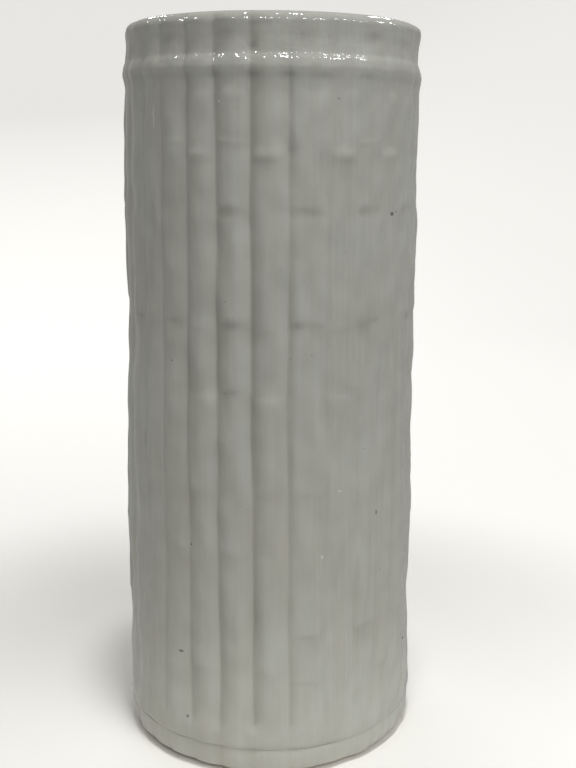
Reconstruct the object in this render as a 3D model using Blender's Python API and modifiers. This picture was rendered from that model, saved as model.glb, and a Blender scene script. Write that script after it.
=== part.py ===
"""A tall ceramic cylinder vase whose wall is a ring of bamboo canes drawn in relief.

Metres, +Z up. The origin is on the vase's axis, on the surface that it stands on, and the front is -Y.
The wall stands on a foot ring. A floor slab lies in the foot ring's rebate with its edge caught under the
wall, and a coil of clay, keyed into the slab's rim, seals the corner inside. Four felt pads are stuck
under the foot ring.
"""

import math

import bmesh
import bpy

# Overall sizes
HEIGHT = 0.481  # standing surface to the top of the lip
CANE_RADIUS = 0.0995  # axis to the crest of a cane
WALL = 0.010  # crest of a cane to the bore

# Canes: angles in degrees, counted from the front (-Y) towards +X
FIRST_VALLEY_DEG = -66.0
FRONT_CANE_WIDTHS_DEG = (12, 11, 12, 12, 13, 13.5, 13.5, 12, 12, 12, 13)
BACK_CANES = 19
FLUTE_DEPTH = 0.0031  # crest of a cane to the valley beside it, before these shares of it
FRONT_VALLEY_SHARES = (0.30, 0.38, 0.42, 0.72, 0.95, 1.15, 0.62, 0.12, 0.12, 0.14, 0.14, 0.30)
BACK_VALLEY_SHARE = 0.70
CANES_END_ABOVE_GROOVE = 0.016  # where the valleys run out near the foot

# Nodes of the canes: how far up the cane each one sits, as a share of the cane's length
EVEN_CANE_NODES = (0.091, 0.378, 0.637, 0.893)
ODD_CANE_NODES = (0.147, 0.283, 0.637, 0.804)
NODE_PROUD = 0.0008
NODE_HALF_HEIGHT = 0.005

# Rim
LIP_OUTER_DROP = 0.0062  # the lip slopes outward and down by this much
LIP_INNER_ROUND = 0.0025
COLLAR_SET_BACK = 0.0006  # collar inside the crest of the canes
RIDGE_BELOW_TOP = 0.0325  # top of the lip to the middle of the raised band
RIDGE_HALF_HEIGHT = 0.007
RIDGE_PROUD = 0.0012  # raised band outside the crest of the canes

# Foot
FOOT_TOP = 0.0172  # standing surface to the groove between foot ring and wall
GROOVE_DEPTH = 0.0012
GROOVE_HALF_HEIGHT = 0.0014
FOOT_TUCK = 0.0043  # the foot's lower edge inside the crest of the canes
FOOT_TUCK_HEIGHT = 0.0100  # over which it tucks in
FOOT_RING_WIDTH = 0.0140  # the flat ring underneath

# Floor, seam and pads
FLOOR_THICKNESS = 0.0085
FLOOR_UNDER_WALL = 0.0020  # the slab's edge past the bore
FLOOR_KEY = 0.0010  # step down round the slab's top, where the coil is keyed in
COIL_SIZE = 0.0080  # each leg of the coil's section
COIL_EDGE = 0.0008  # thickness left at its thin edges
PAD_RADIUS = 0.0055
PAD_THICKNESS = 0.0015
PAD_COUNT = 4
JOINT_GAP = 0.0003  # clearance between pieces that touch

# Facets
COLUMNS_PER_CANE = 3
PLAIN_SIDES = 60
PAD_SIDES = 24
ROUND_STEPS = 3  # along each rounded edge
SMOOTH_BELOW_DEG = 40

# Worked out from the sizes above
CANES = len(FRONT_CANE_WIDTHS_DEG) + BACK_CANES
COLUMNS = CANES * COLUMNS_PER_CANE
BORE_RADIUS = CANE_RADIUS - WALL
COLLAR_RADIUS = CANE_RADIUS - COLLAR_SET_BACK
GROOVE_RADIUS = CANE_RADIUS - GROOVE_DEPTH
LIP_CREST_RADIUS = BORE_RADIUS + LIP_INNER_ROUND
RIDGE_Z = HEIGHT - RIDGE_BELOW_TOP
WALL_BOTTOM = FOOT_TOP + JOINT_GAP
CANE_BOTTOM = FOOT_TOP + CANES_END_ABOVE_GROOVE
CANE_TOP = RIDGE_Z - RIDGE_HALF_HEIGHT
FOOT_BOTTOM = PAD_THICKNESS + JOINT_GAP
FOOT_OUTER_RADIUS = CANE_RADIUS - FOOT_TUCK
FOOT_INNER_RADIUS = FOOT_OUTER_RADIUS - FOOT_RING_WIDTH
REBATE_RADIUS = BORE_RADIUS + FLOOR_UNDER_WALL
FLOOR_BOTTOM = FOOT_TOP - FLOOR_THICKNESS
COIL_OUTER_RADIUS = BORE_RADIUS - JOINT_GAP
COIL_BOTTOM = FOOT_TOP - FLOOR_KEY + JOINT_GAP
CLEAR_FLOOR_RADIUS = COIL_OUTER_RADIUS - COIL_SIZE - JOINT_GAP

# Depth of a valley at each height, as a share of its own depth
FLUTE_SHARES = (
    (FOOT_BOTTOM, 0.4),
    (FOOT_TOP - GROOVE_HALF_HEIGHT, 0.35),
    (FOOT_TOP, 0.07),
    ((FOOT_TOP + CANE_BOTTOM) / 2, 0.1),
    (CANE_BOTTOM, 0.9),
    (CANE_TOP, 1.0),
    (RIDGE_Z, 0.25),
    (RIDGE_Z + RIDGE_HALF_HEIGHT, 0.5),
)


def interpolate(value, points):
    """Height of a broken line through (place, height) points, held level past its ends."""
    if value <= points[0][0]:
        return points[0][1]
    for (low, start), (high, end) in zip(points, points[1:]):
        if value <= high:
            return start + (end - start) * (value - low) / (high - low)
    return points[-1][1]


def quarter_round(centre_r, centre_z, across, down, start_deg):
    """(r, z) points along the quarter of an ellipse that runs clockwise from start_deg."""
    points = []
    for i in range(ROUND_STEPS + 1):
        angle = math.radians(start_deg - 90 * i / ROUND_STEPS)
        points.append((centre_r + across * math.cos(angle), centre_z + down * math.sin(angle)))
    return points


def cane_edges_deg():
    """Angles of the valleys all the way round. The canes at the back share what the front ones leave."""
    edges = [FIRST_VALLEY_DEG]
    for width in FRONT_CANE_WIDTHS_DEG:
        edges.append(edges[-1] + width)
    back_width = (edges[0] + 360 - edges[-1]) / BACK_CANES
    for _ in range(BACK_CANES):
        edges.append(edges[-1] + back_width)
    return edges


def cane_nodes(cane):
    """Heights of one cane's nodes. Neighbouring canes have theirs at different heights."""
    shares = ODD_CANE_NODES if cane % 2 else EVEN_CANE_NODES
    return [CANE_BOTTOM + share * (CANE_TOP - CANE_BOTTOM) for share in shares]


def valley_depth(valley):
    """Depth of one valley. The front ones are uneven, and fade out towards the right."""
    front = valley < len(FRONT_VALLEY_SHARES)
    return FLUTE_DEPTH * (FRONT_VALLEY_SHARES[valley] if front else BACK_VALLEY_SHARE)


def relief(cane, across, z):
    """How far the surface stands outside the crest of the canes. across runs from 0 to 1 over one cane."""
    crown = min(1, 3 * min(across, 1 - across))
    node = max(0, max(1 - abs(z - height) / NODE_HALF_HEIGHT for height in cane_nodes(cane)))
    depth = valley_depth((cane + round(across)) % CANES) * interpolate(z, FLUTE_SHARES)
    return NODE_PROUD * node * crown - depth * (1 - crown)


def carve_canes(mesh, inner, outer):
    """Turn a plain turned mesh into canes. The relief fades out from radius outer in to radius inner."""
    edges = cane_edges_deg()
    for vertex in mesh.vertices:
        x, y, z = vertex.co
        column = round(math.atan2(y, x) / (2 * math.pi) * COLUMNS) % COLUMNS
        cane, step = divmod(column, COLUMNS_PER_CANE)
        across = step / COLUMNS_PER_CANE
        angle = math.radians(edges[cane] + across * (edges[cane + 1] - edges[cane]) - 90)
        radius = math.hypot(x, y)
        share = min(1, max(0, (radius - inner) / (outer - inner)))
        radius += share * relief(cane, across, z)
        vertex.co = (radius * math.cos(angle), radius * math.sin(angle), z)


def ridge_profile():
    """The raised band below the collar, from top to bottom."""
    crest = CANE_RADIUS + RIDGE_PROUD
    shoulder = (CANE_RADIUS + crest) / 2
    return [
        (COLLAR_RADIUS, RIDGE_Z + RIDGE_HALF_HEIGHT),
        (shoulder, RIDGE_Z + RIDGE_HALF_HEIGHT / 2),
        (crest, RIDGE_Z),
        (shoulder, RIDGE_Z - RIDGE_HALF_HEIGHT / 2),
        (CANE_RADIUS, CANE_TOP),
    ]


def cane_profile():
    """Rows down the canes, three to a node so that it can stand proud, and the plain band below them."""
    rows = set()
    for height in cane_nodes(0) + cane_nodes(1):
        rows |= {height - NODE_HALF_HEIGHT, height, height + NODE_HALF_HEIGHT}
    rows = [z for z in rows if CANE_BOTTOM < z < CANE_TOP]
    rows += [CANE_BOTTOM, (FOOT_TOP + CANE_BOTTOM) / 2, FOOT_TOP + GROOVE_HALF_HEIGHT]
    return [(CANE_RADIUS, z) for z in sorted(rows, reverse=True)]


def wall_profile():
    """Section of the wall: lip, collar, raised band, canes, half of the groove, underside and bore."""
    lip_across = COLLAR_RADIUS - LIP_CREST_RADIUS
    lip = quarter_round(LIP_CREST_RADIUS, HEIGHT - LIP_OUTER_DROP, lip_across, LIP_OUTER_DROP, 90)
    inner_z = HEIGHT - LIP_INNER_ROUND
    inner_lip = quarter_round(LIP_CREST_RADIUS, inner_z, LIP_INNER_ROUND, LIP_INNER_ROUND, 180)
    underside = [(GROOVE_RADIUS, WALL_BOTTOM), (BORE_RADIUS, WALL_BOTTOM)]
    return lip + ridge_profile() + cane_profile() + underside + inner_lip[:-1]


def foot_profile():
    """Section of the foot ring: half of the groove, the tucked-in edge, the flat ring and the rebate."""
    tuck_z = FOOT_BOTTOM + FOOT_TUCK_HEIGHT
    tuck = quarter_round(FOOT_OUTER_RADIUS, tuck_z, FOOT_TUCK, FOOT_TUCK_HEIGHT, 0)
    ledge_z = FLOOR_BOTTOM - JOINT_GAP
    return [
        (GROOVE_RADIUS, FOOT_TOP),
        (CANE_RADIUS, FOOT_TOP - GROOVE_HALF_HEIGHT),
        *tuck,
        (FOOT_INNER_RADIUS, FOOT_BOTTOM),
        (FOOT_INNER_RADIUS, ledge_z),
        (REBATE_RADIUS, ledge_z),
        (REBATE_RADIUS, FOOT_TOP),
    ]


def coil_profile():
    """Section of the coil: square to the bore and the floor, hollow towards the inside."""
    inner = COIL_OUTER_RADIUS - COIL_SIZE
    top = COIL_BOTTOM + COIL_SIZE
    reach = COIL_SIZE - COIL_EDGE
    hollow = quarter_round(inner, top, reach, reach, 0)
    square = [(COIL_OUTER_RADIUS, top), (COIL_OUTER_RADIUS, COIL_BOTTOM), (inner, COIL_BOTTOM)]
    return square + hollow[::-1]


def material(name, colour, roughness):
    """A plain Principled material."""
    made = bpy.data.materials.new(name)
    made.use_nodes = True
    shader = made.node_tree.nodes["Principled BSDF"]
    shader.inputs["Base Color"].default_value = (*colour, 1)
    shader.inputs["Roughness"].default_value = roughness
    shader.inputs["Metallic"].default_value = 0
    return made


def smooth(mesh):
    """Round surfaces shaded smooth, with their real edges kept sharp."""
    mesh.shade_smooth()
    mesh.set_sharp_from_angle(angle=math.radians(SMOOTH_BELOW_DEG))


def place(name, mesh, finish, parent, location=(0, 0, 0)):
    """A named object for one piece, in the vase's collection."""
    piece = bpy.data.objects.new(name, mesh)
    piece.location = location
    piece.parent = parent
    if not mesh.materials:
        mesh.materials.append(finish)
    parent.users_collection[0].objects.link(piece)
    return piece


def turned(name, profile, sides, finish, parent):
    """A closed section turned about the axis. profile runs down the outer side and back up inside."""
    outline = bpy.data.meshes.new(name)
    count = len(profile)
    outline.from_pydata([(r, 0, z) for r, z in profile], [(i, (i + 1) % count) for i in range(count)], [])
    piece = place(name, outline, finish, parent)
    screw = piece.modifiers.new("turn", "SCREW")
    screw.steps = screw.render_steps = sides
    screw.use_merge_vertices = True
    screw.merge_threshold = 0.00001
    bpy.context.view_layer.update()
    graph = bpy.context.evaluated_depsgraph_get()
    piece.data = bpy.data.meshes.new_from_object(piece.evaluated_get(graph))
    piece.modifiers.clear()
    bpy.data.meshes.remove(outline)
    smooth(piece.data)
    return piece


def disc(name, radius, thickness, sides, rim=0, step=0):
    """A flat disc standing on z = 0. With a rim, the top inside it is raised by step."""
    shape = bmesh.new()
    depth = thickness - step
    bmesh.ops.create_cone(
        shape, cap_ends=True, segments=sides, radius1=radius, radius2=radius, depth=depth
    )
    bmesh.ops.translate(shape, verts=shape.verts, vec=(0, 0, depth / 2))
    if rim:
        top = [max(shape.faces, key=lambda face: face.calc_center_median().z)]
        bmesh.ops.inset_individual(shape, faces=top, thickness=rim)
        bmesh.ops.inset_individual(shape, faces=top, depth=step)
    mesh = bpy.data.meshes.new(name)
    shape.to_mesh(mesh)
    shape.free()
    smooth(mesh)
    return mesh


def make_wall(finish, parent):
    """The tube of canes, from the groove up to the lip."""
    wall = turned("cane_wall", wall_profile(), COLUMNS, finish, parent)
    carve_canes(wall.data, LIP_CREST_RADIUS, COLLAR_RADIUS)


def make_foot(finish, parent):
    """The ring that the wall stands on, with the canes carried faintly across it."""
    foot = turned("foot_ring", foot_profile(), COLUMNS, finish, parent)
    carve_canes(foot.data, REBATE_RADIUS, FOOT_OUTER_RADIUS)


def make_floor(finish, parent):
    """The slab that closes the bottom and the coil that seals its corner."""
    radius = REBATE_RADIUS - JOINT_GAP
    rim = radius - CLEAR_FLOOR_RADIUS
    mesh = disc("floor_slab", radius, FLOOR_THICKNESS, PLAIN_SIDES, rim, FLOOR_KEY)
    place("floor_slab", mesh, finish, parent, (0, 0, FLOOR_BOTTOM))
    turned("seam_coil", coil_profile(), PLAIN_SIDES, finish, parent)


def make_pads(finish, parent):
    """Felt pads, evenly round the flat ring underneath."""
    ring = (FOOT_OUTER_RADIUS + FOOT_INNER_RADIUS) / 2
    mesh = disc("felt_pad", PAD_RADIUS, PAD_THICKNESS, PAD_SIDES)
    for i in range(PAD_COUNT):
        angle = 2 * math.pi * (i + 0.5) / PAD_COUNT
        location = (ring * math.cos(angle), ring * math.sin(angle), 0)
        place(f"felt_pad_{i + 1}", mesh, finish, parent, location)


def main():
    for leftover in list(bpy.data.objects):
        bpy.data.objects.remove(leftover)
    vase = bpy.data.collections.new("bamboo_vase")
    bpy.context.scene.collection.children.link(vase)
    axis = bpy.data.objects.new("vase_axis", None)
    vase.objects.link(axis)
    glaze = material("white_glaze", (0.40, 0.40, 0.37), 0.12)
    felt = material("felt", (0.06, 0.055, 0.05), 0.95)
    make_wall(glaze, axis)
    make_foot(glaze, axis)
    make_floor(glaze, axis)
    make_pads(felt, axis)


main()
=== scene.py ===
"""The looks of a tall glazed cylinder vase: upright bamboo canes in relief under a white glaze.

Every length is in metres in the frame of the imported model: +Z up, the front towards -Y, the origin on
the vase's axis where it stands. Angles round the vase are in degrees from the front towards +X.
"""

import logging
import math
from dataclasses import dataclass
from enum import Enum
from typing import Any

import bpy
import numpy as np
from mathutils import Matrix, Vector

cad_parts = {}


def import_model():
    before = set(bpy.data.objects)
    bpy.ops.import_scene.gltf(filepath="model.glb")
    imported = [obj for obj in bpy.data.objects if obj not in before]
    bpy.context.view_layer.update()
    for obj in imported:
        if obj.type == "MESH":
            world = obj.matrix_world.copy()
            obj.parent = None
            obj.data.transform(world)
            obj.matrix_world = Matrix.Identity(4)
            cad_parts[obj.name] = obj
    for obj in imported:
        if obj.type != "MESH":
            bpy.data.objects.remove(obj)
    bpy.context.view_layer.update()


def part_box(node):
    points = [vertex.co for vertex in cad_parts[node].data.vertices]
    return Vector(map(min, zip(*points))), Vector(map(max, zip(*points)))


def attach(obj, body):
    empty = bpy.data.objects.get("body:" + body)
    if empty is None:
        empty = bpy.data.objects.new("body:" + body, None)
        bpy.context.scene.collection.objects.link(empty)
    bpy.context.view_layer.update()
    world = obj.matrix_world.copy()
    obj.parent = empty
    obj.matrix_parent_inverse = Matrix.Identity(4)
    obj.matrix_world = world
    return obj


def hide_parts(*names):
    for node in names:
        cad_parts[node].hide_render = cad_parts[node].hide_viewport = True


Array = np.ndarray
Colour = tuple[float, float, float]
Faces = list[tuple[int, ...]]
Knots = tuple[tuple[float, float], ...]
Piece = bpy.types.Object
Socket = bpy.types.NodeSocket
Material = bpy.types.Material
LOG = logging.getLogger("bamboo_vase")


# --- Curves and surfaces ---


def each(kind: type, *rows: tuple[Any, ...]) -> tuple[Any, ...]:
    """One of a kind for each row of its values."""
    return tuple(kind(*row) for row in rows)


def eased(value: Array, low: float, high: float) -> Array:
    """An S-curve: 0 below low, 1 above high, and three squares less two cubes of the share between.

    Args:
        value: Places to work it out at.
        low: Where it starts to rise.
        high: Where it is level again.

    Returns:
        The curve's height at each place.
    """
    share = np.clip((value - low) / (high - low), 0, 1)
    return share * share * (3 - 2 * share)


def through(at: Array, knots: Knots) -> Array:
    """A smooth curve through (place, height) knots that never overshoots them.

    Each stretch is a cubic. Its slope at a knot is the harmonic mean of the slopes on both sides, and
    nothing at a peak, a hollow or an end.

    Args:
        at: Places to work it out at.
        knots: Points that it passes through, in order of place.

    Returns:
        The curve's height at each place, level past the ends.
    """
    places, heights = np.array(knots, float).T
    gaps = np.diff(places)
    slopes = np.diff(heights) / gaps
    product = slopes[:-1] * slopes[1:]
    total = np.where(product > 0, slopes[:-1] + slopes[1:], 1)
    lean = np.concatenate([[0], np.where(product > 0, 2 * product / total, 0), [0]])
    i = np.clip(np.searchsorted(places, at) - 1, 0, len(gaps) - 1)
    t = np.clip((at - places[i]) / gaps[i], 0, 1)
    start = heights[i] * (1 - t) ** 2 * (1 + 2 * t) + gaps[i] * lean[i] * t * (1 - t) ** 2
    end = heights[i + 1] * t**2 * (3 - 2 * t) - gaps[i] * lean[i + 1] * t**2 * (1 - t)
    return start + end


def bell(offset: Array, width: float) -> Array:
    """A bell curve, e to the power of minus the square of offset over width."""
    return np.exp(-((offset / width) ** 2))


def around(radius: Array, degrees: Array, height: Array) -> Array:
    """Points at a radius, an angle from the front and a height, as (x, y, z) in the last axis."""
    angle = np.radians(degrees)
    return np.stack(np.broadcast_arrays(radius * np.sin(angle), -radius * np.cos(angle), height), axis=-1)


@dataclass(frozen=True)
class Ripple:
    """Soft random unevenness round the vase: a sum of cosines, each with whole turns round the axis."""

    seed: int
    depth: float
    turns: tuple[int, int]
    length: tuple[float, float]
    waves: int = 26

    def over(self, degrees: Array, height: Array) -> Array:
        """The unevenness at each angle and height.

        Args:
            degrees: Angles from the front.
            height: Heights in metres.

        Returns:
            Offsets whose spread is about depth.
        """
        draw = np.random.default_rng(self.seed)
        turns = draw.integers(*self.turns, self.waves, endpoint=True)
        rises = 2 * math.pi / draw.uniform(*self.length, self.waves) * draw.choice((-1, 1), self.waves)
        starts = draw.uniform(0, 2 * math.pi, self.waves)
        angle = np.radians(degrees)
        total = sum(np.cos(n * angle + m * height + s) for n, m, s in zip(turns, rises, starts))
        return total * self.depth * math.sqrt(2 / self.waves)


def whole_turn(columns: int) -> Array:
    """Angles of the columns of a turned shape, as one row."""
    return np.linspace(-180, 180, columns, endpoint=False)[None, :]


def mesh_object(name: str, points: Array, faces: Faces, layers: dict[str, Array]) -> Piece:
    """A smooth mesh object in the scene, with its faces turned outwards.

    Args:
        name: The piece's name.
        points: One row of x, y, z for each vertex.
        faces: Vertex numbers of each face, all wound the same way.
        layers: Named values, one for each vertex.

    Returns:
        The object, at the origin.
    """
    mesh = bpy.data.meshes.new(name)
    mesh.from_pydata(points.tolist(), [], faces)
    mesh.validate()
    mesh.calc_loop_triangles()
    corners = np.empty(len(mesh.loop_triangles) * 3, np.int32)
    mesh.loop_triangles.foreach_get("vertices", corners)
    if np.linalg.det(points[corners.reshape(-1, 3)]).sum() < 0:
        mesh.flip_normals()
    for layer, values in layers.items():
        carried = mesh.attributes.new(layer, "FLOAT", "POINT")
        carried.data.foreach_set("value", values.astype(np.float32).ravel())
    mesh.shade_smooth()
    made = bpy.data.objects.new(name, mesh)
    bpy.context.scene.collection.objects.link(made)
    return made


def tube_faces(rows: int, columns: int, closed: bool) -> Faces:
    """Quads of a grid of vertices whose columns go all the way round.

    Args:
        rows: Number of rings of vertices.
        columns: Vertices in each ring.
        closed: Whether the last ring joins the first, as round a tyre.

    Returns:
        Vertex numbers of each quad.
    """
    row = np.arange(rows if closed else rows - 1)[:, None]
    column = np.arange(columns)[None, :]
    upper, lower = row * columns, (row + 1) % rows * columns
    after = (column + 1) % columns
    corners = (upper + column, lower + column, lower + after, upper + after)
    quads = np.stack(np.broadcast_arrays(*corners), axis=-1)
    return [tuple(q) for q in quads.reshape(-1, 4).tolist()]


def fan(hub: int, ring: Array) -> Faces:
    """Triangles from one vertex to each stretch of a closed ring of vertices."""
    return [tuple(f) for f in np.stack([np.full(len(ring), hub), ring, np.roll(ring, -1)], axis=-1).tolist()]


def capped(name: str, grid: Array, ends: list[list[float]], layers: dict[str, Array]) -> Piece:
    """A turned solid that is closed at both ends by a vertex on its axis.

    Args:
        name: The piece's name.
        grid: Points, by ring and column.
        ends: The vertex that closes the first ring, and the one that closes the last.
        layers: Named values, one for each vertex.

    Returns:
        The object.
    """
    rows, columns = grid.shape[:2]
    first = rows * columns
    column = np.arange(columns)
    under = [(hub, after, before) for hub, before, after in fan(first + 1, first - columns + column)]
    faces = tube_faces(rows, columns, closed=False) + fan(first, column) + under
    return mesh_object(name, np.concatenate([grid.reshape(-1, 3), ends]), faces, layers)


def tube(name: str, grid: Array, layers: dict[str, Array]) -> Piece:
    """A closed skin from points by ring and column, whose last ring joins the first."""
    return mesh_object(name, grid.reshape(-1, 3), tube_faces(*grid.shape[:2], closed=True), layers)


def dressed(piece: Piece, finish: Material, node: str) -> Piece:
    """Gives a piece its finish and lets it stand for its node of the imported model.

    Args:
        piece: The piece.
        finish: Its material.
        node: The node that it replaces.

    Returns:
        The piece.
    """
    piece.data.materials.append(finish)
    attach(piece, "root")
    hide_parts(node)
    return piece


def quarter_oval(centre: tuple[float, float], across: float, down: float, start: float, steps: int) -> Array:
    """(radius, height) points on a quarter of an oval, clockwise from an angle.

    Args:
        centre: Radius and height of the oval's centre.
        across: Half of its width.
        down: Half of its height.
        start: Angle of the first point in degrees, from the outward direction.
        steps: Number of stretches.

    Returns:
        One row for each point, the first and the last included.
    """
    angle = np.radians(start - 90 * np.arange(steps + 1) / steps)
    return np.stack([centre[0] + across * np.cos(angle), centre[1] + down * np.sin(angle)], axis=-1)


# --- Shader building ---


class Value:
    """A number that varies over the surface. Arithmetic on it adds Math nodes."""

    def __init__(self, shader: "Shader", socket: Socket) -> None:
        """Keeps the shader it belongs to and the socket that it comes out of."""
        self.shader = shader
        self.socket = socket

    def _with(self, operation: str, *others: Any) -> "Value":
        """The result of a Math node on this value and others."""
        return self.shader.maths(operation, self, *others)

    def __add__(self, other: Any) -> "Value":
        """Sum."""
        return self._with("ADD", other)

    def __sub__(self, other: Any) -> "Value":
        """Difference."""
        return self._with("SUBTRACT", other)

    def __rsub__(self, other: Any) -> "Value":
        """Difference, the other way round."""
        return self.shader.maths("SUBTRACT", other, self)

    def __mul__(self, other: Any) -> "Value":
        """Product."""
        return self._with("MULTIPLY", other)

    __radd__ = __add__
    __rmul__ = __mul__

    def ramp(self, low: float, high: float) -> "Value":
        """An S-curve from 0 at low to 1 at high."""
        settings = {"interpolation_type": "SMOOTHSTEP"}
        node = self.shader.node("ShaderNodeMapRange", settings, {0: self, 1: low, 2: high})
        return Value(self.shader, node.outputs[0])


@dataclass(frozen=True)
class Pattern:
    """A cloudy noise. With upright below 1, its features are drawn out along the height."""

    scale: float
    detail: float = 2
    upright: float = 1.0
    roughness: float = 0.5


class Shader:
    """One material's node tree and the few ways in which this script adds to it."""

    def __init__(self, name: str) -> None:
        """Starts a material with nothing but its output node."""
        self.material = bpy.data.materials.new(name)
        self.material.use_nodes = True
        self.tree = self.material.node_tree
        self.tree.nodes.clear()
        self.place = self.node("ShaderNodeTexCoord").outputs["Object"]

    def node(
        self, kind: str, settings: dict[str, Any] | None = None, values: dict[Any, Any] | None = None
    ) -> bpy.types.Node:
        """Adds a node: first its settings, then the values or links of its sockets.

        Args:
            kind: The name of the node's type.
            settings: Properties of the node.
            values: A number, tuple, Value or output socket for each input, by name or position.

        Returns:
            The node.
        """
        made = self.tree.nodes.new(kind)
        for setting, choice in (settings or {}).items():
            setattr(made, setting, choice)
        for key, value in (values or {}).items():
            if isinstance(value, Value):
                value = value.socket
            if isinstance(value, Socket):
                self.tree.links.new(value, made.inputs[key])
            else:
                made.inputs[key].default_value = value
        return made

    def maths(self, operation: str, *terms: Any) -> Value:
        """A Math node's result."""
        node = self.node("ShaderNodeMath", {"operation": operation}, dict(enumerate(terms)))
        return Value(self, node.outputs[0])

    def layer(self, name: str) -> Value:
        """A named value that the mesh carries on its vertices, 0 where it has none."""
        node = self.node("ShaderNodeAttribute", {"attribute_name": name})
        return Value(self, node.outputs["Fac"])

    def stretched(self, stretch: tuple[float, float, float]) -> Socket:
        """Object coordinates scaled along each axis, for a pattern that is long one way."""
        return self.node("ShaderNodeMapping", values={"Vector": self.place, "Scale": stretch}).outputs[0]

    def noise(self, scale: float, detail: float = 2, vector: Any = None, roughness: float = 0.5) -> Value:
        """Cloudy noise from about 0 to 1, with features about 1 / scale metres across."""
        sockets = {"Vector": vector or self.place, "Scale": scale, "Detail": detail, "Roughness": roughness}
        return Value(self, self.node("ShaderNodeTexNoise", values=sockets).outputs["Fac"])

    def pattern(self, shape: Pattern) -> Value:
        """The noise that a pattern describes."""
        vector = None if shape.upright == 1 else self.stretched((1, 1, shape.upright))
        return self.noise(shape.scale, shape.detail, vector, shape.roughness)

    def spot(self, centre: Vector, half: float, tall: float = 1.0) -> Value:
        """A soft spot on an upright wall: 1 at its centre, 0 from half its width out.

        The distance from its centre is measured along the wall, and hardly at all across it, so that
        the spot is as wide in a valley as on a crest.

        Args:
            centre: Its middle.
            half: Half of its width.
            tall: Its height as a share of its width.

        Returns:
            The spot's strength.
        """
        turn = -math.atan2(centre.x, -centre.y)
        away = self.node("ShaderNodeVectorMath", {"operation": "SUBTRACT"}, {0: self.place, 1: centre})
        facing = {"Vector": away.outputs[0], "Angle": turn}
        turned = self.node("ShaderNodeVectorRotate", {"rotation_type": "Z_AXIS"}, facing)
        shape = {0: turned.outputs[0], 1: (1, 0.12, 1 / tall)}
        scaled = self.node("ShaderNodeVectorMath", {"operation": "MULTIPLY"}, shape)
        length = self.node("ShaderNodeVectorMath", {"operation": "LENGTH"}, {0: scaled.outputs[0]})
        return 1 - Value(self, length.outputs["Value"]).ramp(0.45 * half, half)

    def specks(self, scale: float, half: float, share: float) -> Value:
        """Small round specks scattered over the surface, one to a cell in a share of the cells.

        Args:
            scale: Cells to the metre.
            half: Half the width of a speck, in cells.
            share: How many of the cells hold one.

        Returns:
            1 inside a speck, 0 outside.
        """
        cells = self.node("ShaderNodeTexVoronoi", values={"Vector": self.place, "Scale": scale})
        split = self.node("ShaderNodeSeparateColor", values={0: cells.outputs["Color"]})
        chosen = self.maths("LESS_THAN", Value(self, split.outputs[0]), share)
        return chosen * (1 - Value(self, cells.outputs["Distance"]).ramp(0.5 * half, half))

    def blend(self, factor: Any, first: Any, second: Any) -> Socket:
        """A colour between two."""
        sockets = {0: factor}
        for key, colour in ((6, first), (7, second)):
            sockets[key] = (*colour, 1) if isinstance(colour, tuple) else colour
        return self.node("ShaderNodeMix", {"data_type": "RGBA"}, sockets).outputs[2]

    def brightened(self, colour: Any, factor: Value) -> Socket:
        """A colour times a number."""
        sockets = {0: colour, "Scale": factor}
        return self.node("ShaderNodeVectorMath", {"operation": "SCALE"}, sockets).outputs[0]

    def bumped(self, height: Value) -> Socket:
        """The surface's normal, tilted by a height in metres."""
        sockets = {"Height": height, "Distance": 1.0, "Strength": 1.0}
        return self.node("ShaderNodeBump", values=sockets).outputs[0]

    def finish(self, **sockets: Any) -> Material:
        """Closes the material with a Principled BSDF, whose sockets are named with _ for a space.

        Args:
            sockets: A value or link for each.

        Returns:
            The material.
        """
        values = {name.replace("_", " "): value for name, value in sockets.items()}
        principled = self.node("ShaderNodeBsdfPrincipled", values=values)
        self.node("ShaderNodeOutputMaterial", values={"Surface": principled.outputs[0]})
        return self.material


# --- Finishes ---


@dataclass(frozen=True)
class Mark:
    """A small flaw in the glaze: where it is, half its width, its height as a share of that, and how dark."""

    degrees: float
    height: float
    half: float
    tall: float
    tone: float

    def centre(self, radius: float) -> Vector:
        """Its middle on the vase's wall."""
        return Vector(around(np.array(radius), np.array(self.degrees), np.array(self.height)))


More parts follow.
